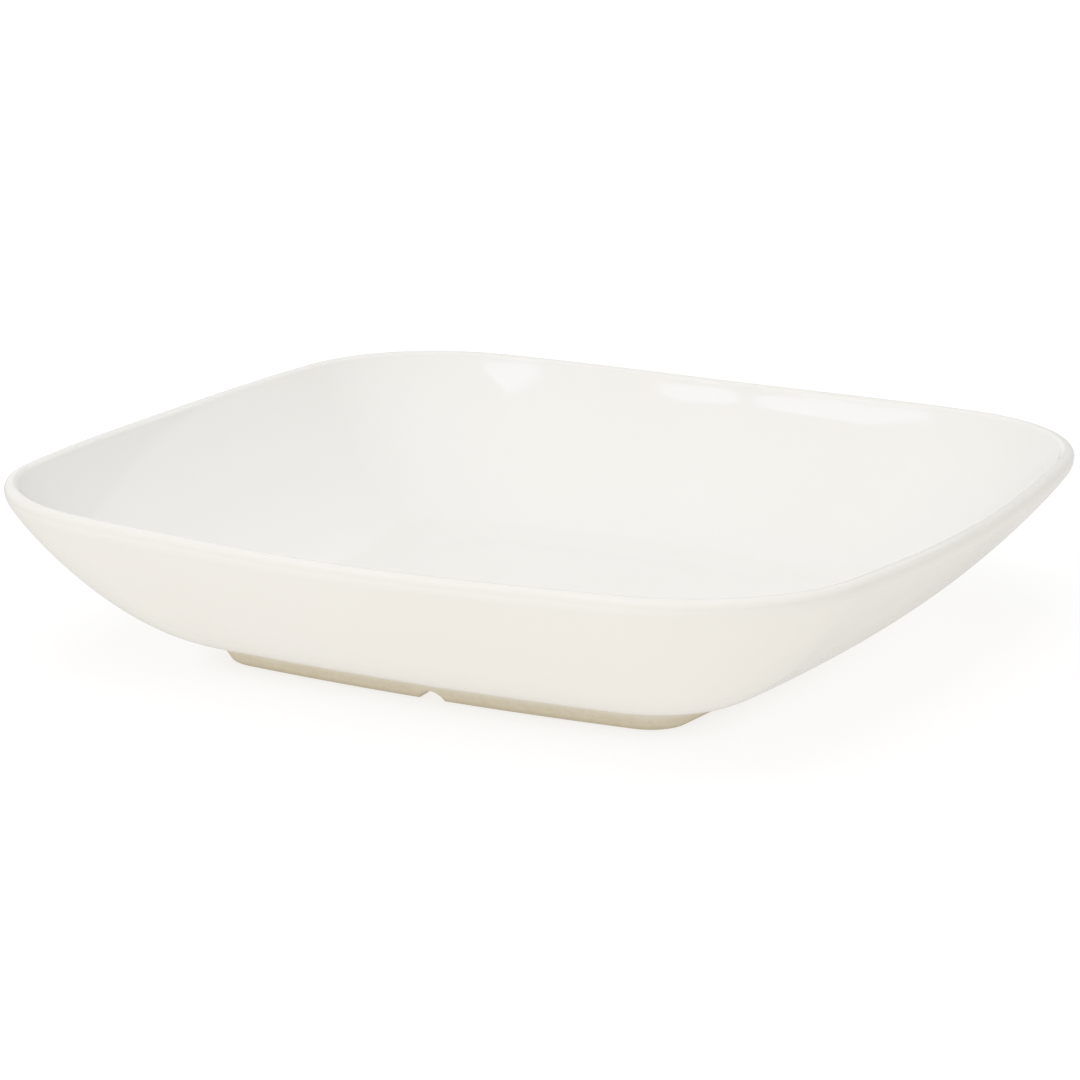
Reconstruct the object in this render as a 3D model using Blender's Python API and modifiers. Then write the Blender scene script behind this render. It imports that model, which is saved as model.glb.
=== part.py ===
"""Square soup plate with rounded corners, in fired clay under an ivory glaze.

The clay body stands on a bare foot ring with a drain notch in the middle of each side. One coat of glaze
covers the inside, the rim and the belly, and a second one lines the hollow inside the foot ring.

Metres, +Z up. The origin is the middle of the plate, on the surface that it stands on.
"""

import math

import bmesh
import bpy
from mathutils import Matrix, Vector

# Rim, measured over the glaze
RIM_WIDTH = 0.200           # between the middles of two opposite sides
HEIGHT = 0.040              # up to the top of a corner
CORNER_LIFT = 0.001         # the corners stand this much above the middles of the sides
RIM_THICKNESS = 0.003       # the edge is a full round
RIM_CORNER_RADIUS = 0.041
SIDE_RADIUS = 0.460         # every side bows outwards a little

# Belly, from the rim's outermost line down to the edge of the glaze
SHOULDER_REACH = 0.004      # pull of the upright start below the rim
BELLY_REACH = 0.0165        # pull of the shallow end beside the foot
BELLY_SLOPE = 4.0           # degrees from level at that end
BELLY_CORNER_RADIUS = 0.0153  # at that end

# Well, from the rim's inner line down to the flat floor
WELL_WIDTH = 0.100          # flat part of the floor
WELL_CORNER_RADIUS = 0.014
WALL_SLOPE = 60.0           # degrees from level, just inside the rim
WALL_REACH = 0.0125         # pull of that slope
FLOOR_REACH = 0.0225        # pull of the level end
FLOOR_THICKNESS = 0.0042    # over the glaze on both faces

# Foot ring
FOOT_WIDTH = 0.110          # outside, where it stands
FOOT_HEIGHT = 0.0049        # up to the belly
FOOT_FLARE = 0.003          # the root reaches this much further out on each side
FOOT_CORNER_RADIUS = 0.0085  # where it stands
FOOT_CORNER_GROWTH = 0.5    # of that radius for each unit that the ring widens
FOOT_RING_WIDTH = 0.0046
FOOT_INNER_FLARE = 0.0012   # the root reaches this much further in
FOOT_EDGE_RADIUS = 0.0010
FOOT_ROOT_FILLET = 0.0015
RECESS_HEIGHT = 0.0034      # ceiling of the hollow inside the ring
RECESS_FILLET = 0.0015

# Drain notches, one shallow arch through the middle of each side of the foot ring
NOTCH_WIDTH = 0.0060
NOTCH_DEPTH = 0.0019

# Glaze
GLAZE_THICKNESS = 0.0003
GLAZE_SEAT = 0.0003         # gap between the glaze and the clay
GLAZE_MARGIN = 0.0020       # bare clay between a glaze edge and the root of the foot ring

# Surfaces, linear colours
GLAZE_COLOUR = (0.86, 0.845, 0.81)
GLAZE_ROUGHNESS = 0.12
CLAY_COLOUR = (0.62, 0.575, 0.46)
CLAY_ROUGHNESS = 0.75

# Steps of the curves
SIDE_STEPS = 6
CORNER_STEPS = 10
RIM_STEPS = 4               # in each half of the round
BELLY_STEPS = 10
WALL_STEPS = 11
FILLET_STEPS = 2
NOTCH_STEPS = 48            # round the whole cutter
LIFT_FADE = 1.5             # power by which the corner lift dies away down the wall
SMOOTH_ANGLE = 35.0         # degrees, below which an edge is shaded smooth

# Sizes that follow from the ones above
rim_half = RIM_WIDTH / 2
rim_round = RIM_THICKNESS / 2
side_height = HEIGHT - CORNER_LIFT
rim_axis_height = side_height - rim_round
crest_half = rim_half - rim_round
foot_half = FOOT_WIDTH / 2
root_half = foot_half + FOOT_FLARE
well_half = WELL_WIDTH / 2
floor_level = RECESS_HEIGHT + FLOOR_THICKNESS
clay_inset = GLAZE_THICKNESS + GLAZE_SEAT
belly_line = Vector((math.cos(math.radians(BELLY_SLOPE)), math.sin(math.radians(BELLY_SLOPE))))
belly_end = Vector((root_half, FOOT_HEIGHT)) + GLAZE_MARGIN * belly_line


def power_between(outer_half, outer_radius, inner_half, inner_radius):
    """Power of the half width with which a corner radius shrinks from one outline to a smaller one."""
    return math.log(outer_radius / inner_radius) / math.log(outer_half / inner_half)


belly_power = power_between(rim_half, RIM_CORNER_RADIUS, belly_end.x, BELLY_CORNER_RADIUS)
crest_corner = RIM_CORNER_RADIUS * (crest_half / rim_half) ** belly_power
well_power = power_between(crest_half, crest_corner, well_half, WELL_CORNER_RADIUS)


def outside_corner(half):
    """Corner radius of an outline on the outside of the plate: the belly's, the foot's or one between them."""
    belly = RIM_CORNER_RADIUS * (half / rim_half) ** belly_power
    foot = FOOT_CORNER_RADIUS + FOOT_CORNER_GROWTH * (half - foot_half)
    share = min(1.0, max(0.0, (half - root_half) / (belly_end.x - root_half)))
    return foot + share * (belly - foot)


def inside_corner(half):
    """Corner radius of an outline in the well."""
    return crest_corner * (half / crest_half) ** well_power


def outline(half, corner):
    """Points round a bowed square: four side arcs that run smoothly into four corner arcs."""
    side_offset = SIDE_RADIUS - half
    reach = SIDE_RADIUS - corner
    centre = (math.sqrt(2 * reach**2 - side_offset**2) - side_offset) / 2
    meet = math.atan2(centre, centre + side_offset)
    quarter = []
    for step in range(SIDE_STEPS):
        angle = meet * (2 * step / SIDE_STEPS - 1)
        quarter.append(Vector((SIDE_RADIUS * math.cos(angle) - side_offset, SIDE_RADIUS * math.sin(angle))))
    for step in range(CORNER_STEPS):
        angle = meet + (math.pi / 2 - 2 * meet) * step / CORNER_STEPS
        quarter.append(Vector((centre + corner * math.cos(angle), centre + corner * math.sin(angle))))
    turns = [Matrix.Rotation(turn * math.pi / 2, 2) for turn in range(4)]
    return [turn @ point for turn in turns for point in quarter]


def lifted(point, height):
    """A point of an outline at its height, with the lift of the corners, which the floor doesn't have."""
    share = (2 * point.x * point.y / point.length_squared) ** 2
    rise = max(0.0, height - floor_level) / (side_height - floor_level)
    return Vector((point.x, point.y, height + CORNER_LIFT * share * rise**LIFT_FADE))


def arc(centre, radius, start, end, steps):
    """Points on an arc in the half section, angles in degrees from the outward direction."""
    angles = [math.radians(start + (end - start) * step / steps) for step in range(steps + 1)]
    return [centre + radius * Vector((math.cos(angle), math.sin(angle))) for angle in angles]


def bezier(start, start_pull, end_pull, end, steps, inset):
    """Points on a curve in the half section, moved to the right of its direction by the inset."""
    first, second = start + start_pull, end + end_pull
    points = []
    for step in range(steps + 1):
        t = step / steps
        s = 1 - t
        point = s**3 * start + 3 * s * s * t * first + 3 * s * t * t * second + t**3 * end
        along = s * s * (first - start) + 2 * s * t * (second - first) + t * t * (end - second)
        along.normalize()
        points.append(point + inset * Vector((along.y, -along.x)))
    return points


def rounded(corners, radii):
    """A polyline in the half section with its inner corners rounded."""
    points = [corners[0]]
    for before, corner, after, radius in zip(corners, corners[1:], corners[2:], radii):
        back, on = (before - corner).normalized(), (after - corner).normalized()
        half_angle = back.angle(on) / 2
        middle = corner + (back + on).normalized() * radius / math.sin(half_angle)
        run = radius / math.tan(half_angle)
        start, end = corner + run * back - middle, corner + run * on - middle
        sweep = start.angle_signed(end)
        for step in range(FILLET_STEPS + 1):
            points.append(middle + Matrix.Rotation(-sweep * step / FILLET_STEPS, 2) @ start)
    return points + [corners[-1]]


def rim_centre():
    """Axis of the rim's round in the half section."""
    return Vector((crest_half, rim_axis_height))


def well_curve(inset):
    """Half section from the floor's edge up the wall to the crest of the rim."""
    floor_edge = Vector((well_half, floor_level))
    up_wall = Vector((math.cos(math.radians(WALL_SLOPE)), math.sin(math.radians(WALL_SLOPE))))
    wall_top = rim_centre() + rim_round * Vector((-up_wall.y, up_wall.x))
    wall = bezier(floor_edge, Vector((FLOOR_REACH, 0)), -WALL_REACH * up_wall, wall_top, WALL_STEPS, inset)
    return wall + arc(rim_centre(), rim_round - inset, 90 + WALL_SLOPE, 90, RIM_STEPS)[1:]


def belly_curve(inset):
    """Half section from just below the crest of the rim, over its outside, to the end of the glaze."""
    belly_top = Vector((rim_half, rim_axis_height))
    shoulder = Vector((0, -SHOULDER_REACH))
    belly = bezier(belly_top, shoulder, BELLY_REACH * belly_line, belly_end, BELLY_STEPS, inset)
    return arc(rim_centre(), rim_round - inset, 90, 0, RIM_STEPS)[1:] + belly[1:]


def foot_curve(inset):
    """Half section of the bare foot ring, from the end of the belly to the ceiling of its hollow."""
    stand_outer = Vector((foot_half, 0))
    stand_inner = Vector((foot_half - FOOT_RING_WIDTH, 0))
    outer_wall = Vector((FOOT_FLARE, FOOT_HEIGHT))
    inner_wall = Vector((-FOOT_INNER_FLARE, RECESS_HEIGHT))
    belly_clay = belly_end + inset * Vector((-belly_line.y, belly_line.x))
    # the outer root is where the clay under the belly meets the outer wall of the ring
    across = belly_clay - stand_outer
    climb = across.cross(belly_line) / outer_wall.cross(belly_line)
    outer_root = stand_outer + climb * outer_wall
    inner_root = stand_inner + inner_wall * (RECESS_HEIGHT + inset) / RECESS_HEIGHT
    ceiling_edge = inner_root - Vector((RECESS_FILLET + GLAZE_MARGIN, 0))
    corners = [belly_clay, outer_root, stand_outer, stand_inner, inner_root, ceiling_edge]
    radii = [FOOT_ROOT_FILLET, FOOT_EDGE_RADIUS, FOOT_EDGE_RADIUS, RECESS_FILLET]
    return rounded(corners, radii)


def sections_of(curve, corner_law):
    """Outlines along a half section, each with its height."""
    return [(outline(point.x, corner_law(point.x)), point.y) for point in curve]


def loft(name, sections, closed):
    """A skin lofted over the outlines, with a flat cap on the first, and on the last if it is closed."""
    bm = bmesh.new()
    rings = [[bm.verts.new(lifted(point, height)) for point in points] for points, height in sections]
    for ring, following in zip(rings, rings[1:]):
        for index in range(len(ring)):
            bm.faces.new((ring[index - 1], ring[index], following[index], following[index - 1]))
    for ring in (rings[0], rings[-1]) if closed else (rings[0],):
        bm.faces.new(ring)
    bmesh.ops.recalc_face_normals(bm, faces=bm.faces)
    mesh = bpy.data.meshes.new(name)
    bm.to_mesh(mesh)
    bm.free()
    return bpy.data.objects.new(name, mesh)


def notch_cutter(name, turn):
    """A lying cylinder whose top makes the arched notches in two opposite sides of the foot ring."""
    radius = (NOTCH_WIDTH**2 / 4 + NOTCH_DEPTH**2) / (2 * NOTCH_DEPTH)
    bpy.ops.mesh.primitive_cylinder_add(
        radius=radius,
        depth=RIM_WIDTH,
        vertices=NOTCH_STEPS,
        location=(0, 0, NOTCH_DEPTH - radius),
        rotation=(math.pi / 2, 0, turn),
    )
    cutter = bpy.context.object
    cutter.name = name
    cutter.hide_render = True
    cutter.display_type = "WIRE"
    return cutter


def fired_material(name, colour, roughness):
    """A plain fired surface."""
    material = bpy.data.materials.new(name)
    material.use_nodes = True
    shader = material.node_tree.nodes["Principled BSDF"]
    shader.inputs["Base Color"].default_value = (*colour, 1)
    shader.inputs["Roughness"].default_value = roughness
    shader.inputs["Metallic"].default_value = 0.0
    return material


def plate_body():
    """The clay: the whole plate below the glaze, with the bare foot ring and its notches."""
    upper = sections_of(well_curve(clay_inset), inside_corner)
    lower = sections_of(belly_curve(clay_inset) + foot_curve(clay_inset)[1:], outside_corner)
    body = loft("plate_body", upper + lower, closed=True)
    body.data.materials.append(fired_material("bare clay", CLAY_COLOUR, CLAY_ROUGHNESS))
    return body


def glaze_coat():
    """The glaze over the inside, the rim and the belly."""
    upper = sections_of(well_curve(0), inside_corner)
    lower = sections_of(belly_curve(0), outside_corner)
    coat = loft("glaze_coat", upper + lower, closed=False)
    coat.data.materials.append(fired_material("ivory glaze", GLAZE_COLOUR, GLAZE_ROUGHNESS))
    skin = coat.modifiers.new("glaze thickness", "SOLIDIFY")
    skin.thickness = GLAZE_THICKNESS
    skin.offset = -1
    skin.use_even_offset = True
    return coat


def underside_glaze():
    """The glaze on the ceiling of the hollow inside the foot ring: a flat patch of its outline."""
    edge = foot_curve(clay_inset)[-1].x
    points = outline(edge, outside_corner(edge))
    curve = bpy.data.curves.new("underside_glaze", "CURVE")
    curve.dimensions = "2D"
    curve.fill_mode = "BOTH"
    curve.extrude = GLAZE_THICKNESS / 2
    spline = curve.splines.new("POLY")
    spline.points.add(len(points) - 1)
    for place, point in zip(spline.points, points):
        place.co = (*point, 0, 1)
    spline.use_cyclic_u = True
    curve.materials.append(fired_material("underside glaze", GLAZE_COLOUR, GLAZE_ROUGHNESS))
    patch = bpy.data.objects.new("underside_glaze", curve)
    patch.location.z = RECESS_HEIGHT + GLAZE_THICKNESS / 2
    return patch


def collection(name):
    """A new collection in the scene."""
    made = bpy.data.collections.new(name)
    bpy.context.scene.collection.children.link(made)
    return made


def main():
    for item in list(bpy.data.objects):
        bpy.data.objects.remove(item)
    plate = collection("soup_plate")
    cutters = collection("soup_plate_cutters")
    origin = bpy.data.objects.new("soup_plate_origin", None)
    plate.objects.link(origin)

    body, coat, patch = plate_body(), glaze_coat(), underside_glaze()
    for piece in (body, coat, patch):
        plate.objects.link(piece)
        piece.parent = origin

    for name, turn in (("notch_front_back", 0), ("notch_left_right", math.pi / 2)):
        cutter = notch_cutter(name, turn)
        for holder in list(cutter.users_collection):
            holder.objects.unlink(cutter)
        cutters.objects.link(cutter)
        cut = body.modifiers.new(name, "BOOLEAN")
        cut.operation = "DIFFERENCE"
        cut.solver = "EXACT"
        cut.object = cutter

    for piece in (body, coat):
        piece.data.shade_smooth()
        piece.data.set_sharp_from_angle(angle=math.radians(SMOOTH_ANGLE))


main()
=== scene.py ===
# %% [markdown]
# # A square soup plate under ivory glaze
# The plate is fired clay with two patches of glaze: one over the inside, the rim and the belly, and one inside
# the foot ring. Its solids are packed already, and this lesson gives each of them a fine surface and a finish.
# The solids are loaded first, because every piece below has to sit exactly where they are.

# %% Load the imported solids
import math

import bmesh
import bpy
from mathutils import Matrix, Vector


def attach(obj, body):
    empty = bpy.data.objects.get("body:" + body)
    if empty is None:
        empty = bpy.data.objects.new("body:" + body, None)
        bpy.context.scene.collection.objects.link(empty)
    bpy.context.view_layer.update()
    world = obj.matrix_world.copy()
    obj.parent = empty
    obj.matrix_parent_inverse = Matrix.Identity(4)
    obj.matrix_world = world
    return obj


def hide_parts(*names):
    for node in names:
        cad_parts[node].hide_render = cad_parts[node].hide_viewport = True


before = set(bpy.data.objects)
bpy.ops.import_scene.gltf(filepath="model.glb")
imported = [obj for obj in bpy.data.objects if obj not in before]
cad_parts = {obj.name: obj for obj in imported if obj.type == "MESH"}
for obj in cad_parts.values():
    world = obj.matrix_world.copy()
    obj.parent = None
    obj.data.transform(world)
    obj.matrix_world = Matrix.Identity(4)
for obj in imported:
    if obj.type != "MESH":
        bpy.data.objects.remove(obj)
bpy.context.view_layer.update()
scene = bpy.context.scene
scene.view_settings.view_transform = "Standard"
print("solids:", ", ".join(sorted(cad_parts)))

# %% [markdown]
# ## The camera
# A product photograph is taken from some way off with a long lens, so that a square plate keeps its proportions.
# We describe the camera by the direction it looks from, its distance, the point it looks at and a slight roll,
# and build its matrix from three axes. A tracking constraint would also aim it, but it can't hold the roll.

# %% Place the camera
VIEW_AZIMUTH = math.radians(26.445)      # from the front, towards the right
VIEW_ELEVATION = math.radians(14.321)
VIEW_ROLL = math.radians(1.091)
VIEW_DISTANCE = 0.8557
VIEW_TARGET = Vector((0.00157, -0.00940, 0.02425))
LENS, SENSOR_WIDTH = 132.84, 36          # millimetres


def direction(azimuth, elevation):
    """Unit vector from the plate towards an azimuth, counted from the front to the right, and an elevation."""
    flat = math.cos(elevation)
    return Vector((math.sin(azimuth) * flat, -math.cos(azimuth) * flat, math.sin(elevation)))


camera_data = bpy.data.cameras.new("product_camera")
camera_data.lens = LENS
camera_data.sensor_width = SENSOR_WIDTH
camera_data.clip_start, camera_data.clip_end = 0.05, 50
camera = bpy.data.objects.new("product_camera", camera_data)
scene.collection.objects.link(camera)
backward = direction(VIEW_AZIMUTH, VIEW_ELEVATION)
rightward = Vector((math.cos(VIEW_AZIMUTH), math.sin(VIEW_AZIMUTH), 0))
axes = Matrix((rightward, backward.cross(rightward), backward)).transposed().to_4x4()
camera.matrix_world = (
    Matrix.Translation(VIEW_TARGET + VIEW_DISTANCE * backward) @ axes @ Matrix.Rotation(VIEW_ROLL, 4, "Z")
)
scene.camera = camera
print("camera at", [round(value, 3) for value in camera.matrix_world.translation])

# %% [markdown]
# ## The half section
# Cut the plate through the middle of two sides, and one half of the cut is a single line: flat floor, curved wall,
# full round rim, belly and foot. A potter's template is exactly this line. We keep it as points of half width and
# height, made from arcs and cubic curves, so that the same line drawn a little deeper gives the clay below the glaze.

# %% Sizes of the plate
RIM_WIDTH, RIM_THICKNESS, RIM_CORNER = 0.200, 0.003, 0.041
HEIGHT, CORNER_LIFT, LIFT_FADE = 0.040, 0.001, 1.5
SIDE_RADIUS = 0.460
SHOULDER_REACH, BELLY_REACH, BELLY_SLOPE, BELLY_CORNER = 0.004, 0.0165, math.radians(4), 0.0153
WELL_WIDTH, WELL_CORNER, FLOOR_LEVEL = 0.100, 0.014, 0.0076
WALL_SLOPE, WALL_REACH, FLOOR_REACH = math.radians(60), 0.0125, 0.0225
FOOT_WIDTH, FOOT_HEIGHT, FOOT_FLARE = 0.110, 0.0049, 0.003
FOOT_CORNER, CORNER_GROWTH = 0.0085, 0.5
RING_WIDTH, INNER_FLARE, RECESS_HEIGHT = 0.0046, 0.0012, 0.0034
EDGE_RADIUS, ROOT_FILLET = 0.0010, 0.0015
GLAZE_DEPTH, GLAZE_MARGIN = 0.0006, 0.0020

rim_half, rim_round = RIM_WIDTH / 2, RIM_THICKNESS / 2
crest_half, side_height = rim_half - rim_round, HEIGHT - CORNER_LIFT
rim_axis = Vector((crest_half, side_height - rim_round))
foot_half = FOOT_WIDTH / 2
root = Vector((foot_half + FOOT_FLARE, FOOT_HEIGHT))
print("rim half width", rim_half, "foot half width", foot_half)

# %% Curves of the half section


def arc(centre, radius, start, end, steps):
    """Points on an arc from one angle to another, in radians from the outward direction."""
    angles = [start + (end - start) * step / steps for step in range(steps + 1)]
    return [centre + radius * Vector((math.cos(angle), math.sin(angle))) for angle in angles]


def cubic(start, start_pull, end_pull, end, steps, depth):
    """Points on a cubic curve, moved to the right of its direction by a depth."""
    first, second = start + start_pull, end + end_pull
    points = []
    for step in range(steps + 1):
        t = step / steps
        s = 1 - t
        point = s**3 * start + 3 * s * s * t * first + 3 * s * t * t * second + t**3 * end
        along = s * s * (first - start) + 2 * s * t * (second - first) + t * t * (end - second)
        along.normalize()
        points.append(point + depth * Vector((along.y, -along.x)))
    return points


def straight(start, end, steps):
    """Points on a straight run."""
    return [start.lerp(end, step / steps) for step in range(steps + 1)]


def rounded(corners, radii, steps):
    """A polyline with its inner corners turned into arcs."""
    points = [corners[0]]
    for before, corner, after, radius in zip(corners, corners[1:], corners[2:], radii):
        back, on = (before - corner).normalized(), (after - corner).normalized()
        half_angle = back.angle(on) / 2
        middle = corner + (back + on).normalized() * radius / math.sin(half_angle)
        start = corner + back * radius / math.tan(half_angle) - middle
        end = corner + on * radius / math.tan(half_angle) - middle
        sweep = start.angle_signed(end)
        points += [middle + Matrix.Rotation(-sweep * step / steps, 2) @ start for step in range(steps + 1)]
    return points + [corners[-1]]


print("curve helpers ready")

# %% [markdown]
# The well and the belly use two laws for their corners. At the rim the corners are wide and soft, and they tighten
# towards the foot and the floor. A power of the half width does that smoothly, and its exponent follows from the
# two corner radii that we know: the one at the rim and the one beside the foot or at the edge of the floor. The foot
# ring has tighter corners of its own, and the strip of bare clay above it leads from one law to the other.

# %% Well, rim and belly
BELLY_LINE = Vector((math.cos(BELLY_SLOPE), math.sin(BELLY_SLOPE)))
WALL_LINE = Vector((math.cos(WALL_SLOPE), math.sin(WALL_SLOPE)))
glaze_end = root + GLAZE_MARGIN * BELLY_LINE
belly_power = math.log(RIM_CORNER / BELLY_CORNER) / math.log(rim_half / glaze_end.x)
crest_corner = RIM_CORNER * (crest_half / rim_half) ** belly_power
well_power = math.log(crest_corner / WELL_CORNER) / math.log(crest_half / (WELL_WIDTH / 2))


def outside_corner(half):
    """Corner radius of an outline on the outside of the plate: the belly's, the foot's or one between them."""
    belly = RIM_CORNER * (half / rim_half) ** belly_power
    foot = FOOT_CORNER + CORNER_GROWTH * (half - foot_half)
    share = min(1.0, max(0.0, (half - root.x) / (glaze_end.x - root.x)))
    return max(0.0, foot + share * (belly - foot))


def inside_corner(half):
    """Corner radius of an outline in the well."""
    return crest_corner * (half / crest_half) ** well_power


def well_line(depth, wall_steps, rim_steps, floor_steps):
    """From the middle of the floor up the wall to the crest of the rim."""
    floor_edge = Vector((WELL_WIDTH / 2, FLOOR_LEVEL))
    wall_top = rim_axis + rim_round * Vector((-WALL_LINE.y, WALL_LINE.x))
    wall = cubic(floor_edge, Vector((FLOOR_REACH, 0)), -WALL_REACH * WALL_LINE, wall_top, wall_steps, depth)
    floor = straight(Vector((0, FLOOR_LEVEL - depth)), wall[0], floor_steps)
    rim = arc(rim_axis, rim_round - depth, math.pi / 2 + WALL_SLOPE, math.pi / 2, rim_steps)
    return [(point, inside_corner(point.x)) for point in floor[:-1] + wall + rim[1:]]


def belly_line(depth, belly_steps, rim_steps):
    """From the crest of the rim over its outside and down the belly to the end of the glaze."""
    start = Vector((rim_half, rim_axis.y))
    pull = Vector((0, -SHOULDER_REACH))
    belly = cubic(start, pull, BELLY_REACH * BELLY_LINE, glaze_end, belly_steps, depth)
    rim = arc(rim_axis, rim_round - depth, math.pi / 2, 0, rim_steps)
    return [(point, outside_corner(point.x)) for point in rim[1:] + belly[1:]]


print("corner powers:", round(belly_power, 3), round(well_power, 3))

# %% [markdown]
# The clay can have a crisp line, but glaze melts, and the melt softens every bend. It fills the hollow under the rim a
# few tenths of a millimetre thicker, so the shoulder is rounder to the eye than the clay below it. And it spreads the
# bend at the edge of the floor over a wide strip, so that no line shows there. We draw these two as separate lines, and
# the corners of the shoulder give back what its sides gain.

# %% The softer lines of the glaze
SHOULDER_FACE, SHOULDER_ROUND, SHOULDER_TURN = 0.0006, 0.003, math.radians(36)
SOFT_START, SOFT_END = 0.0156, 0.0128
SHOULDER_STEPS, PLAIN_STEPS, PLAIN_RIM_STEPS = 12, 400, 4
FLOOR_STRIP = 0.012         # half width of the strip over which the floor bends into the wall


def soft_well_line(wall_steps, rim_steps, floor_steps):
    """The well with its bend at the edge of the floor spread out: the curvature grows smoothly, not at once."""
    rows = []
    second_rise = rim_axis.y + rim_round * WALL_LINE.x - WALL_REACH * WALL_LINE.y - FLOOR_LEVEL
    bend = 2 / 3 * second_rise / FLOOR_REACH**2
    for point, corner in well_line(0, wall_steps, rim_steps, floor_steps):
        v = (point.x - WELL_WIDTH / 2) / FLOOR_STRIP
        if abs(v) < 1:
            # the height that follows from a smooth rise of the curvature, less that from a sudden one
            change = 0.09375 * v - 0.25 * v * abs(v) + 0.1875 * v**3 - 0.03125 * v**5
            point = point + Vector((0, bend * FLOOR_STRIP**2 * change))
        rows.append((point, corner))
    return rows


def soft_belly_line(belly_steps, rim_steps):
    """The belly with its round shoulder."""
    plain = [point for point, corner in belly_line(0, PLAIN_STEPS, PLAIN_RIM_STEPS)[PLAIN_RIM_STEPS:]]
    centre = Vector((rim_half - SHOULDER_ROUND, rim_axis.y - SHOULDER_FACE))
    shoulder = arc(centre, SHOULDER_ROUND, 0, -SHOULDER_TURN, SHOULDER_STEPS)
    pull = SOFT_START * Vector((-math.sin(SHOULDER_TURN), -math.cos(SHOULDER_TURN)))
    belly = cubic(shoulder[-1], pull, SOFT_END * BELLY_LINE, glaze_end, belly_steps, 0)
    rim = arc(rim_axis, rim_round, math.pi / 2, 0, rim_steps)
    rows = [(point, outside_corner(point.x)) for point in rim[1:]]
    for point in shoulder[1:] + belly[1:]:
        above, below = next(pair for pair in zip(plain, plain[1:]) if pair[1].y <= point.y + 1e-9)
        beside = above.lerp(below, (above.y - point.y) / (above.y - below.y)).x
        gain = (point.x - beside) / (1 - math.sqrt(0.5))
        rows.append((point, outside_corner(beside) + gain))
    return rows


shoulder_end = rim_axis.y - SHOULDER_FACE - SHOULDER_ROUND * math.sin(SHOULDER_TURN)
print("shoulder ends", round(1000 * shoulder_end, 1), "mm up")

# %% [markdown]
# ## A loft in Geometry Nodes
# Every level of the plate is a bowed square: four shallow side arcs that run smoothly into four corner arcs. The
# whole skin is that outline repeated along the half section, so it is a rule, and Geometry Nodes can hold the rule.
# The tree makes a grid with one row for each point of the section. Each vertex looks up its row's half width, height
# and corner radius, and a few formulas put it on its outline. To keep those formulas readable, a small class lets
# Python's own plus and times signs add Math nodes.

# %% Node values that read like formulas


class Value:
    """An output in a node tree. Arithmetic on it adds Math nodes to the tree."""

    def __init__(self, tree, socket):
        self.tree, self.socket = tree, socket

    def math(self, operation, *others):
        node = self.tree.nodes.new("ShaderNodeMath")
        node.operation = operation
        for slot, value in zip(node.inputs, (self, *others)):
            plug(self.tree, value, slot)
        return Value(self.tree, node.outputs[0])

    def __add__(self, other): return self.math("ADD", other)
    def __radd__(self, other): return self.math("ADD", other)
    def __sub__(self, other): return self.math("SUBTRACT", other)
    def __rsub__(self, other): return self.math("MULTIPLY_ADD", -1, other)
    def __mul__(self, other): return self.math("MULTIPLY", other)
    def __rmul__(self, other): return self.math("MULTIPLY", other)
    def __truediv__(self, other): return self.math("DIVIDE", other)
    def __pow__(self, other): return self.math("POWER", other)
    def sqrt(self): return self.math("SQRT")
    def sin(self): return self.math("SINE")
    def cos(self): return self.math("COSINE")


def plug(tree, value, slot):
    """Joins a node value to an input, or writes a plain number into it."""
    if isinstance(value, Value):
        tree.links.new(value.socket, slot)
    else:
        slot.default_value = value


def add_node(tree, kind, **settings):
    """A new node with its properties set."""
    node = tree.nodes.new(kind)
    for name, value in settings.items():
        setattr(node, name, value)
    return node


print("node values ready")

# %% [markdown]
# The outline formula works on one quarter and turns it into place. About half of the quarter's points go to the side
# and the rest to the corner, where the bend is. The points of a side can be drawn together near its middle, because the
# foot ring has a small drain notch there that needs finer steps than the plain wall.

# %% Inputs of the loft tree
loft_tree = bpy.data.node_groups.new("bowed square loft", "GeometryNodeTree")
LOFT_INPUTS = [
    ("Section", "NodeSocketGeometry", None),
    ("Points Around", "NodeSocketInt", 320),
    ("Side Share", "NodeSocketFloat", 0.45),
    ("Middle Spread", "NodeSocketFloat", 1.0),
    ("Side Radius", "NodeSocketFloat", SIDE_RADIUS),
    ("Corner Lift", "NodeSocketFloat", CORNER_LIFT),
    ("Lift From", "NodeSocketFloat", FLOOR_LEVEL),
    ("Lift To", "NodeSocketFloat", side_height),
    ("Lift Fade", "NodeSocketFloat", LIFT_FADE),
    ("Notch Radius", "NodeSocketFloat", 0.005),
    ("Notch Depth", "NodeSocketFloat", 0.0),
    ("Notch Lip", "NodeSocketFloat", 0.0008),
    ("Finish", "NodeSocketMaterial", None),
]
loft_ids = {}
for name, kind, default in LOFT_INPUTS:
    socket = loft_tree.interface.new_socket(name, in_out="INPUT", socket_type=kind)
    if default is not None:
        socket.default_value = default
    loft_ids[name] = socket.identifier
loft_tree.interface.new_socket("Skin", in_out="OUTPUT", socket_type="NodeSocketGeometry")
loft_in = add_node(loft_tree, "NodeGroupInput")
loft_out = add_node(loft_tree, "NodeGroupOutput")
given = {name: Value(loft_tree, loft_in.outputs[name]) for name, kind, default in LOFT_INPUTS}
print("loft tree with", len(LOFT_INPUTS), "inputs")

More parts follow.
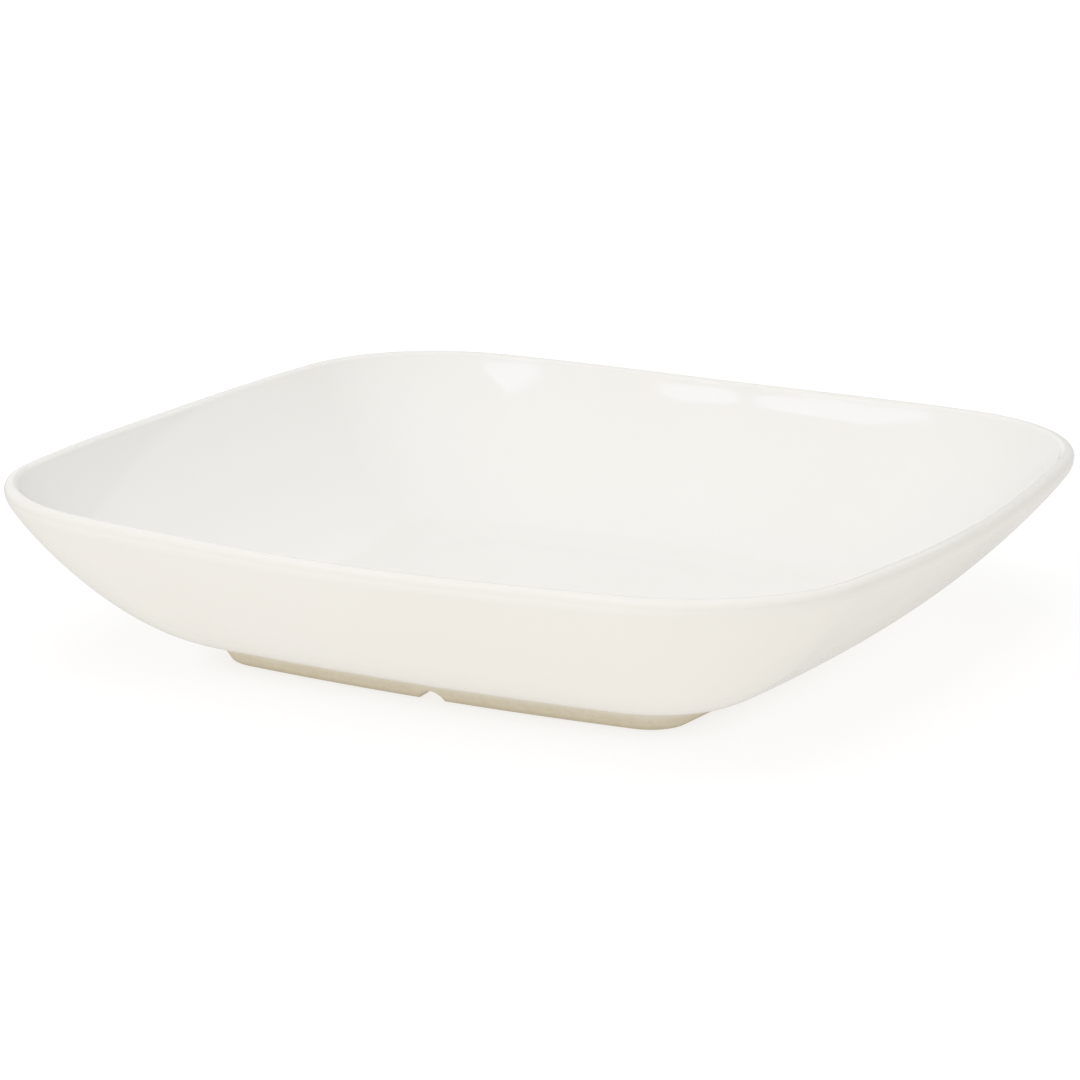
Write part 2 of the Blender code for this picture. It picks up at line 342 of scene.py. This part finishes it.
# %% Rows, columns and what each vertex looks up
size = add_node(loft_tree, "GeometryNodeAttributeDomainSize", component="MESH")
plug(loft_tree, given["Section"], size.inputs["Geometry"])
rows = Value(loft_tree, size.outputs["Point Count"])
grid = add_node(loft_tree, "GeometryNodeMeshGrid")
plug(loft_tree, rows, grid.inputs["Vertices X"])
plug(loft_tree, given["Points Around"] + 1, grid.inputs["Vertices Y"])
index = Value(loft_tree, add_node(loft_tree, "GeometryNodeInputIndex").outputs[0])
row = (index / (given["Points Around"] + 1)).math("FLOOR")
column = index - row * (given["Points Around"] + 1)


def looked_up(field, kind, row):
    """A value of the section's points, read at a vertex's row."""
    sample = add_node(loft_tree, "GeometryNodeSampleIndex", data_type=kind, domain="POINT")
    plug(loft_tree, given["Section"], sample.inputs["Geometry"])
    loft_tree.links.new(field, sample.inputs["Value"])
    plug(loft_tree, row, sample.inputs["Index"])
    return Value(loft_tree, sample.outputs[0])


def named(attribute):
    """A float attribute of the section's points."""
    reader = add_node(loft_tree, "GeometryNodeInputNamedAttribute", data_type="FLOAT")
    reader.inputs["Name"].default_value = attribute
    return reader.outputs[0]


place = looked_up(add_node(loft_tree, "GeometryNodeInputPosition").outputs[0], "FLOAT_VECTOR", row)
parts = add_node(loft_tree, "ShaderNodeSeparateXYZ")
plug(loft_tree, place, parts.inputs[0])
half, level = Value(loft_tree, parts.outputs["X"]), Value(loft_tree, parts.outputs["Z"])
corner = looked_up(named("corner"), "FLOAT", row)
print("each vertex reads its row's half width, level and corner")

# %% The bowed square
side = given["Side Radius"]
offset = side - half
reach = side - corner
middle = ((2 * reach**2 - offset**2).sqrt() - offset) / 2
meet = middle.math("ARCTAN2", middle + offset)
around = column * 4 / given["Points Around"]
quarter = around.math("FLOOR")
share = around - quarter
on_corner = share.math("GREATER_THAN", given["Side Share"])
run = share / given["Side Share"] * 2 - 1
drawn = run * (given["Middle Spread"] + (1 - given["Middle Spread"]) * run**2)
side_angle = meet * drawn
turn = meet + (math.pi / 2 - 2 * meet) * (share - given["Side Share"]) / (1 - given["Side Share"])


def pick(choice, if_true, if_false):
    """One of two values, by a choice of 0 or 1."""
    return if_false + choice * (if_true - if_false)


across = pick(on_corner, middle + corner * turn.cos(), side * side_angle.cos() - offset)
along = pick(on_corner, middle + corner * turn.sin(), side * side_angle.sin())
swing = quarter * (math.pi / 2)
x = across * swing.cos() - along * swing.sin()
y = across * swing.sin() + along * swing.cos()
print("outline formula placed,", len(loft_tree.nodes), "nodes so far")

# %% [markdown]
# Two more rules finish the shape. The corners of the rim stand a millimetre higher than the middles of the sides, a
# lift that dies away towards the floor. And a drain notch is a low arch across the foot ring: whatever lies below the
# arch moves up to it. Smooth Maximum does that with a soft lip, like clay that was wiped with a sponge.

# %% Corner lift, drain notch and the finished skin
TINY = 1e-12                # saves the middle of the plate from a division by zero
WELD_DISTANCE = 1e-6
diagonal = (2 * x * y / (x * x + y * y + TINY)) ** 2
rise = (level - given["Lift From"]).math("MAXIMUM", 0) / (given["Lift To"] - given["Lift From"])
lifted = level + given["Corner Lift"] * diagonal * rise ** given["Lift Fade"]
notch = given["Notch Radius"]
arch = given["Notch Depth"] - notch + (notch * notch - along * along).math("MAXIMUM", 0).sqrt()
cut = lifted.math("SMOOTH_MAX", arch, given["Notch Lip"])
z = pick(given["Notch Depth"].math("GREATER_THAN", 0), cut, lifted)

joined = add_node(loft_tree, "ShaderNodeCombineXYZ")
for value, slot in zip((x, y, z), joined.inputs):
    plug(loft_tree, value, slot)
moved = add_node(loft_tree, "GeometryNodeSetPosition")
edge = add_node(loft_tree, "GeometryNodeStoreNamedAttribute", data_type="FLOAT", domain="POINT")
edge.inputs["Name"].default_value = "edge"
weld = add_node(loft_tree, "GeometryNodeMergeByDistance")
weld.inputs["Distance"].default_value = WELD_DISTANCE
soft = add_node(loft_tree, "GeometryNodeSetShadeSmooth")
real = add_node(loft_tree, "GeometryNodeRealizeInstances")
coat = add_node(loft_tree, "GeometryNodeSetMaterial")
plug(loft_tree, looked_up(named("edge"), "FLOAT", row), edge.inputs["Value"])
loft_tree.links.new(joined.outputs[0], moved.inputs["Position"])
plug(loft_tree, given["Finish"], coat.inputs["Material"])
chain = [grid, edge, moved, weld, soft, real, coat, loft_out]
for node, following in zip(chain, chain[1:]):
    source = node.outputs["Mesh"] if node == grid else node.outputs[0]
    loft_tree.links.new(source, following.inputs[0])
print("loft tree finished with", len(loft_tree.nodes), "nodes")

# %% [markdown]
# A helper turns a section into a finished piece. It writes the section's points into a small mesh, lofts it, keeps
# the result as a plain mesh and throws the modifier away, so that the piece is real geometry. The sign of the
# volume says whether the faces point outwards, so we measure it and turn the skin round if need be.

# %% Loft a section into a piece


def loft_piece(name, section, finish, **inputs):
    """A closed skin over a section, given as (point, corner radius, edge) rows, with tree inputs by name."""
    line = bpy.data.meshes.new(name + "_section")
    line.from_pydata([(point.x, 0, point.y) for point, corner, edge in section], [], [])
    for title, values in (("corner", [r[1] for r in section]), ("edge", [r[2] for r in section])):
        line.attributes.new(title, "FLOAT", "POINT").data.foreach_set("value", values)
    guide = bpy.data.objects.new(name + "_guide", line)
    scene.collection.objects.link(guide)
    modifier = guide.modifiers.new("loft", "NODES")
    modifier.node_group = loft_tree
    for title, value in {"Finish": finish, **inputs}.items():
        modifier[loft_ids[title]] = value
    evaluated = guide.evaluated_get(bpy.context.evaluated_depsgraph_get())
    mesh = bpy.data.meshes.new_from_object(evaluated)
    bpy.data.objects.remove(guide)

    bm = bmesh.new()
    bm.from_mesh(mesh)
    volume = bm.calc_volume(signed=True)
    if volume < 0:
        bmesh.ops.reverse_faces(bm, faces=bm.faces)
        bm.to_mesh(mesh)
    open_edges = sum(not edge.is_manifold for edge in bm.edges)
    bm.free()
    mesh.name = name
    piece = bpy.data.objects.new(name, mesh)
    scene.collection.objects.link(piece)
    triangles = sum(len(face.vertices) - 2 for face in mesh.polygons)
    print(f"{name}: {triangles} triangles, {abs(volume) * 1e6:.2f} cm3, {open_edges} open edges")
    return piece


print("ready to loft")

# %% [markdown]
# ## The glaze
# Ivory glaze is melted glass with a little cream in it. Its colour drifts slowly from place to place, it runs thin
# over the edge of the rim, where the clay warms it, and its surface is smooth with very slight ripples. Towards the
# foot its darker tone is partly thinner glaze and partly painted shade under the belly. The colours come from noise in
# Object coordinates and from the skin's own edge attribute, never from where the camera stands.

# %% Helpers for finishes


def new_finish(name):
    """A new node material for a surface: its tree, its shader and Object coordinates."""
    material = bpy.data.materials.new(name)
    material.use_nodes = True
    tree = material.node_tree
    shader = tree.nodes["Principled BSDF"]
    coordinates = tree.nodes.new("ShaderNodeTexCoord").outputs["Object"]
    return material, tree, shader, coordinates


def empty_finish(name):
    """A new node material without nodes, and its tree."""
    material = bpy.data.materials.new(name)
    material.use_nodes = True
    material.node_tree.nodes.clear()
    return material, material.node_tree


def noise(tree, coordinates, scale, detail):
    """A noise value from about 0 to 1, with a number of waves to the metre."""
    node = add_node(tree, "ShaderNodeTexNoise")
    tree.links.new(coordinates, node.inputs["Vector"])
    node.inputs["Scale"].default_value = scale
    node.inputs["Detail"].default_value = detail
    return Value(tree, node.outputs["Fac"])


def between(tree, amount, low, high, start=0.3, end=0.7):
    """A number from low to high, while the amount goes from start to end."""
    node = add_node(tree, "ShaderNodeMapRange")
    plug(tree, amount, node.inputs["Value"])
    node.inputs["From Min"].default_value, node.inputs["From Max"].default_value = start, end
    node.inputs["To Min"].default_value, node.inputs["To Max"].default_value = low, high
    return Value(tree, node.outputs[0])


def blend_colours(tree, amount, first, second):
    """A colour between two others, each a tuple or another blend."""
    node = add_node(tree, "ShaderNodeMix", data_type="RGBA")
    plug(tree, amount, node.inputs["Factor"])
    for value, slot in ((first, node.inputs["A"]), (second, node.inputs["B"])):
        plug(tree, value if isinstance(value, Value) else (*value, 1), slot)
    return Value(tree, node.outputs["Result"])


def attribute(tree, name):
    """A float attribute of the surface."""
    return Value(tree, add_node(tree, "ShaderNodeAttribute", attribute_name=name).outputs["Fac"])


def bump(tree, height, strength, depth, shader):
    """Fine relief on a shader, from a height and a depth in metres."""
    node = add_node(tree, "ShaderNodeBump")
    plug(tree, height, node.inputs["Height"])
    node.inputs["Strength"].default_value, node.inputs["Distance"].default_value = strength, depth
    tree.links.new(node.outputs[0], shader.inputs["Normal"])


print("finish helpers ready")

# %% Ivory glaze
IVORY = (0.862, 0.848, 0.818)
IVORY_CREAM = (0.850, 0.834, 0.798)
# the colour of thin glaze, and of the painted shade under the belly towards the foot
IVORY_THIN_AND_SHADE = (0.795, 0.775, 0.735)
THIN_AND_SHADE_SHARE = 0.75                       # how far the thin glaze and the painted shade near the foot go to their own colour
TONE_WAVES, GLOSS_WAVES, RIPPLE_WAVES, FINE_WAVES = 14, 90, 160, 900        # to the metre
GLAZE_ROUGHNESS = (0.02, 0.05)
FINE_SHARE, RIPPLE_STRENGTH, RIPPLE_DEPTH = 0.15, 0.1, 0.00006
GLAZE_IOR = 1.5


def ivory_finish(name):
    """Ivory glaze, with its drift of tone, thin edges, painted shade towards the foot and slight ripples."""
    material, tree, shader, coordinates = new_finish(name)
    tone = between(tree, noise(tree, coordinates, TONE_WAVES, 2), 0.0, 1.0)
    body = blend_colours(tree, tone, IVORY, IVORY_CREAM)
    # the edge attribute darkens the glaze: thin glaze over the rim, and thin glaze with painted shade towards the foot
    colour = blend_colours(tree, attribute(tree, "edge") * THIN_AND_SHADE_SHARE, body, IVORY_THIN_AND_SHADE)
    tree.links.new(colour.socket, shader.inputs["Base Color"])
    gloss = between(tree, noise(tree, coordinates, GLOSS_WAVES, 3), *GLAZE_ROUGHNESS)
    tree.links.new(gloss.socket, shader.inputs["Roughness"])
    ripples = noise(tree, coordinates, RIPPLE_WAVES, 1) + FINE_SHARE * noise(tree, coordinates, FINE_WAVES, 2)
    bump(tree, ripples, RIPPLE_STRENGTH, RIPPLE_DEPTH, shader)
    shader.inputs["IOR"].default_value = GLAZE_IOR
    return material


ivory = ivory_finish("ivory_glaze")
print("ivory glaze:", len(ivory.node_tree.nodes), "nodes")

# %% [markdown]
# The glaze is a closed skin: its outer face is the shape that we see and touch, and its inner face lies on the clay.
# Where it ends, just before the foot, the melt stopped in a small round lip. One section line goes all the way round:
# along the outer face, over the lip and back along the clay.

# %% Glaze over the inside, the rim and the belly
THIN_EDGE, THIN_AND_SHADE_END = 0.0017, 0.009     # how far the thin glaze reaches from the rim, and thin glaze with painted shade from the glaze's end
THIN_TURN = math.radians(60)            # where it is thinnest on the round of the rim, up from the outward direction
THIN_SHARPNESS, THIN_AND_SHADE_PEAK = 4, 1.3
LIP_STEPS = 6
thin_middle = rim_axis + rim_round * Vector((math.cos(THIN_TURN), math.sin(THIN_TURN)))


def over_rim(point):
    """How thin the glaze has run over the edge of the rim: up to 1 there, 0 away from it."""
    return math.exp(-((point - thin_middle).length / THIN_EDGE) ** THIN_SHARPNESS)


def thin_and_shaded_near_foot(point):
    """How much darker the glaze gets towards its end beside the foot: partly thin glaze, partly painted shade under the
    belly.
    """
    return max(0.0, THIN_AND_SHADE_PEAK - THIN_AND_SHADE_PEAK * (point - glaze_end).length / THIN_AND_SHADE_END)


inward = Vector((-BELLY_LINE.y, BELLY_LINE.x))
lip_axis = glaze_end + GLAZE_DEPTH * inward
lip = arc(lip_axis, GLAZE_DEPTH, BELLY_SLOPE + 1.5 * math.pi, BELLY_SLOPE + math.pi, LIP_STEPS)
lip_line = [(point, outside_corner(point.x)) for point in lip[1:]]
outer_well = soft_well_line(wall_steps=72, rim_steps=14, floor_steps=30)
outer_belly = soft_belly_line(belly_steps=60, rim_steps=14)
clay_face = well_line(GLAZE_DEPTH, wall_steps=18, rim_steps=3, floor_steps=3)
clay_face += belly_line(GLAZE_DEPTH, belly_steps=16, rim_steps=3)
glaze_section = [(p, c, over_rim(p)) for p, c in outer_well]
# towards the foot the edge value is partly thin glaze and partly painted shade under the belly
glaze_section += [(p, c, max(over_rim(p), thin_and_shaded_near_foot(p))) for p, c in outer_belly + lip_line]
glaze_section += [(p, c, 0.0) for p, c in reversed(clay_face[:-1])]
glaze_piece = loft_piece("ivory_glaze_coat", glaze_section, ivory)
print("glaze section has", len(glaze_section), "points")

# %% [markdown]
# ## The clay
# Under the glaze lies the clay, and the foot ring stays bare so that the plate doesn't stick to the kiln shelf. Fired
# clay is beige and dull, with a fine grain and darker specks. The top of the foot is paler, fading into the glaze, and
# its standing edge is darkened with painted shade where it meets the table. Both go by the height, which Object
# coordinates give in metres.

# %% Bare clay finish
CLAY = (0.600, 0.544, 0.420)
CLAY_DARK = (0.556, 0.492, 0.370)
# dark specks, and the painted shade at the standing edge where the foot meets the table
CLAY_SPECK_AND_SHADE = (0.420, 0.360, 0.260)
GRAIN_WAVES, SPECK_WAVES = 520, 1700        # to the metre
SPECK_LEVEL, SPECK_SHARE = 0.68, 0.35       # the noise above which there is a speck, and how dark it is
# the heights over which the top of the foot grows paler, how it fades and how pale it gets
PALE_TOP_START, PALE_TOP_END, PALE_TOP_FADE, PALE_TOP_SHARE = 0.0017, 0.0036, 1.5, 0.4
EDGE_SHADE_HEIGHT, EDGE_SHADE_SHARE = 1.4 * EDGE_RADIUS, 0.9
CLAY_ROUGHNESS = (0.68, 0.86)
GRAIN_STRENGTH, GRAIN_DEPTH = 0.5, 0.00008


def clay_finish():
    """Bare fired clay, with grain, specks, a paler top and painted shade at the standing edge."""
    material, tree, shader, coordinates = new_finish("bare_clay")
    grain = noise(tree, coordinates, GRAIN_WAVES, 4)
    body = blend_colours(tree, between(tree, grain, 0.0, 1.0), CLAY, CLAY_DARK)
    specks = noise(tree, coordinates, SPECK_WAVES, 1).math("GREATER_THAN", SPECK_LEVEL)
    speckled = blend_colours(tree, specks * SPECK_SHARE, body, CLAY_SPECK_AND_SHADE)
    parts = add_node(tree, "ShaderNodeSeparateXYZ")
    tree.links.new(coordinates, parts.inputs[0])
    height = Value(tree, parts.outputs["Z"])
    # paler towards the top of the foot, fading into the glaze colour
    pale_top = between(tree, height, 0.0, 1.0, PALE_TOP_START, PALE_TOP_END) ** PALE_TOP_FADE
    paled = blend_colours(tree, pale_top * PALE_TOP_SHARE, speckled, IVORY_THIN_AND_SHADE)
    # painted shade: darker towards the standing edge, where the foot meets the table
    painted_edge_shade = between(tree, height, 1.0, 0.0, 0.0, EDGE_SHADE_HEIGHT)
    colour = blend_colours(tree, painted_edge_shade * EDGE_SHADE_SHARE, paled, CLAY_SPECK_AND_SHADE)
    tree.links.new(colour.socket, shader.inputs["Base Color"])
    dull = between(tree, grain, *CLAY_ROUGHNESS)
    tree.links.new(dull.socket, shader.inputs["Roughness"])
    bump(tree, grain, GRAIN_STRENGTH, GRAIN_DEPTH, shader)
    return material


clay = clay_finish()
print("bare clay:", len(clay.node_tree.nodes), "nodes")

# %% Clay body with its foot ring and notches
NOTCH_WIDTH, NOTCH_DEPTH, NOTCH_LIP = 0.0060, 0.0022, 0.0005
BEND_STEPS, CEILING_STEPS, LONGEST_STEP = 8, 5, 0.0003
notch_radius = (NOTCH_WIDTH**2 / 4 + NOTCH_DEPTH**2) / (2 * NOTCH_DEPTH)


def foot_line(depth):
    """From the end of the glaze down the foot ring, across its standing face and up into its hollow."""
    stand_outer, stand_inner = Vector((foot_half, 0)), Vector((foot_half - RING_WIDTH, 0))
    clay_end = glaze_end + depth * inward
    wall = root - stand_outer
    climb = (clay_end - stand_outer).cross(BELLY_LINE) / wall.cross(BELLY_LINE)
    outer_root = stand_outer + climb * wall
    inner_root = stand_inner + Vector((-INNER_FLARE, RECESS_HEIGHT)) * (RECESS_HEIGHT + depth) / RECESS_HEIGHT
    ceiling = inner_root - Vector((ROOT_FILLET + GLAZE_MARGIN, 0))
    corners = [clay_end, outer_root, stand_outer, stand_inner, inner_root, ceiling]
    rough = rounded(corners, [ROOT_FILLET, EDGE_RADIUS, EDGE_RADIUS, ROOT_FILLET], BEND_STEPS)
    fine = [rough[0]]
    for start, end in zip(rough, rough[1:]):
        fine += straight(start, end, max(1, round((end - start).length / LONGEST_STEP)))[1:]
    flat = straight(ceiling, Vector((0, ceiling.y)), CEILING_STEPS)
    return [(point, outside_corner(point.x)) for point in fine + flat[1:]]


clay_section = [(p, c, 0.0) for p, c in clay_face + foot_line(GLAZE_DEPTH)[1:]]
notches = {"Notch Radius": notch_radius, "Notch Depth": NOTCH_DEPTH, "Notch Lip": NOTCH_LIP}
spread = {"Points Around": 480, "Side Share": 0.65, "Middle Spread": 0.3}
clay_piece = loft_piece("bare_clay_body", clay_section, clay, **notches, **spread)
print("clay section has", len(clay_section), "points, notch radius", round(notch_radius * 1000, 2), "mm")

# %% [markdown]
# ## The glaze inside the foot ring
# A second patch of the same glaze lines the hollow under the plate. It is a flat disc in the outline of the foot, with
# the same round lip where it ends before the bare ring, so the same tree makes it from a very short section.

# %% Glaze patch under the floor
PATCH_STEPS = 10
patch_finish = ivory_finish("underside_glaze")
patch_edge = foot_line(GLAZE_DEPTH)[-1 - CEILING_STEPS][0]
patch_lip = arc(patch_edge, GLAZE_DEPTH, 1.5 * math.pi, 2 * math.pi, LIP_STEPS)
patch_low, patch_high = Vector((0, RECESS_HEIGHT)), Vector((0, patch_edge.y))
patch_line = straight(patch_low, patch_lip[0], PATCH_STEPS) + patch_lip[1:]
patch_line += straight(patch_lip[-1], patch_high, CEILING_STEPS)[1:]
patch_section = [(point, outside_corner(point.x), 0.0) for point in patch_line]
patch_piece = loft_piece("underside_glaze_patch", patch_section, patch_finish)
print("patch half width in mm:", round(patch_lip[-1].x * 1000, 2))

# %% [markdown]
# ## Hand the pieces to the frame
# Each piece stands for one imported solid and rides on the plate's only body. The solids stay behind for the physics.

# %% Ride and replace
for piece, node, slot in (
    (glaze_piece, "glaze_coat", "ivory_glaze"),
    (clay_piece, "plate_body", "bare_clay"),
    (patch_piece, "underside_glaze", "ivory_glaze"),
):
    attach(piece, "root")
    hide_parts(node)
    print(piece.name, "stands for", node)

# %% [markdown]
# ## Floor and light
# The plate stands on a white light table, as in a product studio. To the camera part of the table's white is a glow of
# its own and the rest is what the lamps give it, so it still darkens softly where the plate keeps the light away. Far
# from the plate, where the lamps don't reach, the glow is a little stronger. The glaze mirrors a greyer table, which
# draws the edge of the belly. The light that the table sends up under the belly is even and slightly warm. Seen from
# below the table is clear.

# %% Pale floor
FLOOR_RADIUS, FLOOR_DROP = 4, 0.0001   # the drop keeps the floor clear of the foot's standing face
NEAR_GLOW, FAR_GLOW, CAMERA_MATT = 0.70, 0.82, 0.33
NEAR_REACH, FAR_REACH = 0.25, 0.70     # how far from the middle of the plate the glow starts and ends its rise
MIRROR_GLOW, MIRROR_MATT = 0.45, 0.30
TABLE_LIGHT, TABLE_TINT = 1.05, (1.0, 0.976, 0.93)


def floor_finish():
    """White that is partly glow and partly lit, by the kind of ray, and clear from below."""
    material, tree = empty_finish("pale_floor")
    path = add_node(tree, "ShaderNodeLightPath")
    by_camera = Value(tree, path.outputs["Is Camera Ray"])
    by_mirror = Value(tree, path.outputs["Is Glossy Ray"])
    by_mirror = by_mirror.math("MAXIMUM", Value(tree, path.outputs["Is Transmission Ray"]))
    away = add_node(tree, "ShaderNodeVectorMath", operation="LENGTH")
    tree.links.new(add_node(tree, "ShaderNodeTexCoord").outputs["Object"], away.inputs[0])
    glow = between(tree, Value(tree, away.outputs["Value"]), NEAR_GLOW, FAR_GLOW, NEAR_REACH, FAR_REACH)
    shining = add_node(tree, "ShaderNodeEmission")
    plug(tree, blend_colours(tree, by_camera, TABLE_TINT, (1, 1, 1)), shining.inputs["Color"])
    plug(tree, pick(by_camera, glow, pick(by_mirror, MIRROR_GLOW, TABLE_LIGHT)), shining.inputs["Strength"])
    matt = add_node(tree, "ShaderNodeBsdfDiffuse")
    plug(tree, pick(by_camera, CAMERA_MATT, by_mirror * MIRROR_MATT), matt.inputs["Color"])
    white = add_node(tree, "ShaderNodeAddShader")
    clear = add_node(tree, "ShaderNodeBsdfTransparent")
    by_side = add_node(tree, "ShaderNodeMixShader")
    below = add_node(tree, "ShaderNodeNewGeometry").outputs["Backfacing"]
    out = add_node(tree, "ShaderNodeOutputMaterial")
    for source, slot in (
        (shining.outputs[0], white.inputs[0]), (matt.outputs[0], white.inputs[1]),
        (below, by_side.inputs["Fac"]), (white.outputs[0], by_side.inputs[1]),
        (clear.outputs[0], by_side.inputs[2]), (by_side.outputs[0], out.inputs["Surface"]),
    ):
        tree.links.new(source, slot)
    return material


bpy.ops.mesh.primitive_circle_add(
    vertices=96, radius=FLOOR_RADIUS, fill_type="NGON", location=(0, 0, -FLOOR_DROP)
)
floor = bpy.context.object
floor.name = "pale_floor"
floor.data.materials.append(floor_finish())
print("floor", 2 * FLOOR_RADIUS, "m across")

# %% [markdown]
# Glaze mirrors everything bright, so a softbox near the plate would draw its edges all over the well. The broad lamps
# are therefore kept out of reflections and only light the surface. What the glaze does show is a few white cards high
# on the left, each given by the directions of its corners: one lights the far corner and two make the bright strip. A
# low grey card behind the plate draws the rim's far edge, which would be lost in a white studio.

# %% Soft studio lamps
LAMPS = [  # name, azimuth and elevation in degrees, distance, width, height, radiance
    ("top_softbox", 0, 88, 1.3, 1.2, 1.2, 0.75),
    ("high_softbox", 0, 60, 1.4, 1.2, 0.8, 1.35),
    ("front_softbox", 0, 28, 1.5, 1.6, 0.8, 0.50),
    ("low_softbox", 0, 9, 1.6, 1.8, 0.4, 0.50),
    ("right_fill", 75, 40, 1.5, 1.2, 0.9, 0.20),
]
for name, azimuth, elevation, distance, width, height, radiance in LAMPS:
    data = bpy.data.lights.new(name, "AREA")
    data.shape = "RECTANGLE"
    data.size, data.size_y = width, height
    data.energy = radiance * math.pi * width * height
    lamp = bpy.data.objects.new(name, data)
    toward = direction(math.radians(azimuth), math.radians(elevation))
    lamp.location = distance * toward
    lamp.rotation_euler = toward.to_track_quat("Z", "Y").to_euler()
    lamp.visible_glossy = False
    scene.collection.objects.link(lamp)
print(len(LAMPS), "lamps")

# %% Cards for the glaze to mirror
CARD_DISTANCE = 8
COOL, NEUTRAL = (0.76, 0.79, 1.0), (1.0, 1.0, 1.0)
CARDS = {  # tint, light, and corners as azimuth and elevation in degrees
    "corner_card": (COOL, 2.7, [(0.3, 51), (-19.5, 45.1), (-21.5, 45.1), (-23.8, 48.6), (-28.1, 54.5), (-31.2, 58.2),
                                (-23, 56.8), (-5.6, 55.3)]),
    "short_card": (COOL, 2.7, [(-29.5, 47), (-32.6, 44.9), (-35.4, 46.8), (-38.8, 50.8), (-37.2, 53.3), (-33.5, 51.6)]),
    "long_card": (COOL, 2.7, [(-36.4, 46.7), (-37.3, 43.4), (-40.5, 42.4), (-43.4, 41), (-45.8, 44.3), (-47.7, 50),
                              (-43.1, 50.8), (-40.1, 50.6)]),
    "grey_card": (NEUTRAL, 0.7, [(150, 0), (210, 0), (210, 22), (150, 22)]),
}


def card_finish(name, tint, light):
    """A plain glow."""
    material, tree = empty_finish(name)
    shining = add_node(tree, "ShaderNodeEmission")
    shining.inputs["Color"].default_value = (*tint, 1)
    shining.inputs["Strength"].default_value = light
    out = add_node(tree, "ShaderNodeOutputMaterial")
    tree.links.new(shining.outputs[0], out.inputs["Surface"])
    return material


for name, (tint, light, corners) in CARDS.items():
    mesh = bpy.data.meshes.new(name)
    rays = [direction(math.radians(azimuth), math.radians(elevation)) for azimuth, elevation in corners]
    mesh.from_pydata([CARD_DISTANCE * ray for ray in rays], [], [range(len(rays))])
    mesh.materials.append(card_finish(name, tint, light))
    card = bpy.data.objects.new(name, mesh)
    scene.collection.objects.link(card)
    card.visible_camera = card.visible_diffuse = card.visible_shadow = False
print(len(CARDS), "cards")

# %% White surroundings
WORLD_LIGHT = 0.65
world = bpy.data.worlds.new("white_studio")
world.use_nodes = True
scene.world = world
tree = world.node_tree
ground = tree.nodes["Background"]
ground.inputs["Color"].default_value = (1, 1, 1, 1)
path = add_node(tree, "ShaderNodeLightPath")
seen = Value(tree, path.outputs["Is Camera Ray"])
for ray in ("Is Glossy Ray", "Is Transmission Ray"):
    seen = seen.math("MAXIMUM", Value(tree, path.outputs[ray]))
plug(tree, pick(seen, 1.0, WORLD_LIGHT), ground.inputs["Strength"])
print("world light", WORLD_LIGHT)
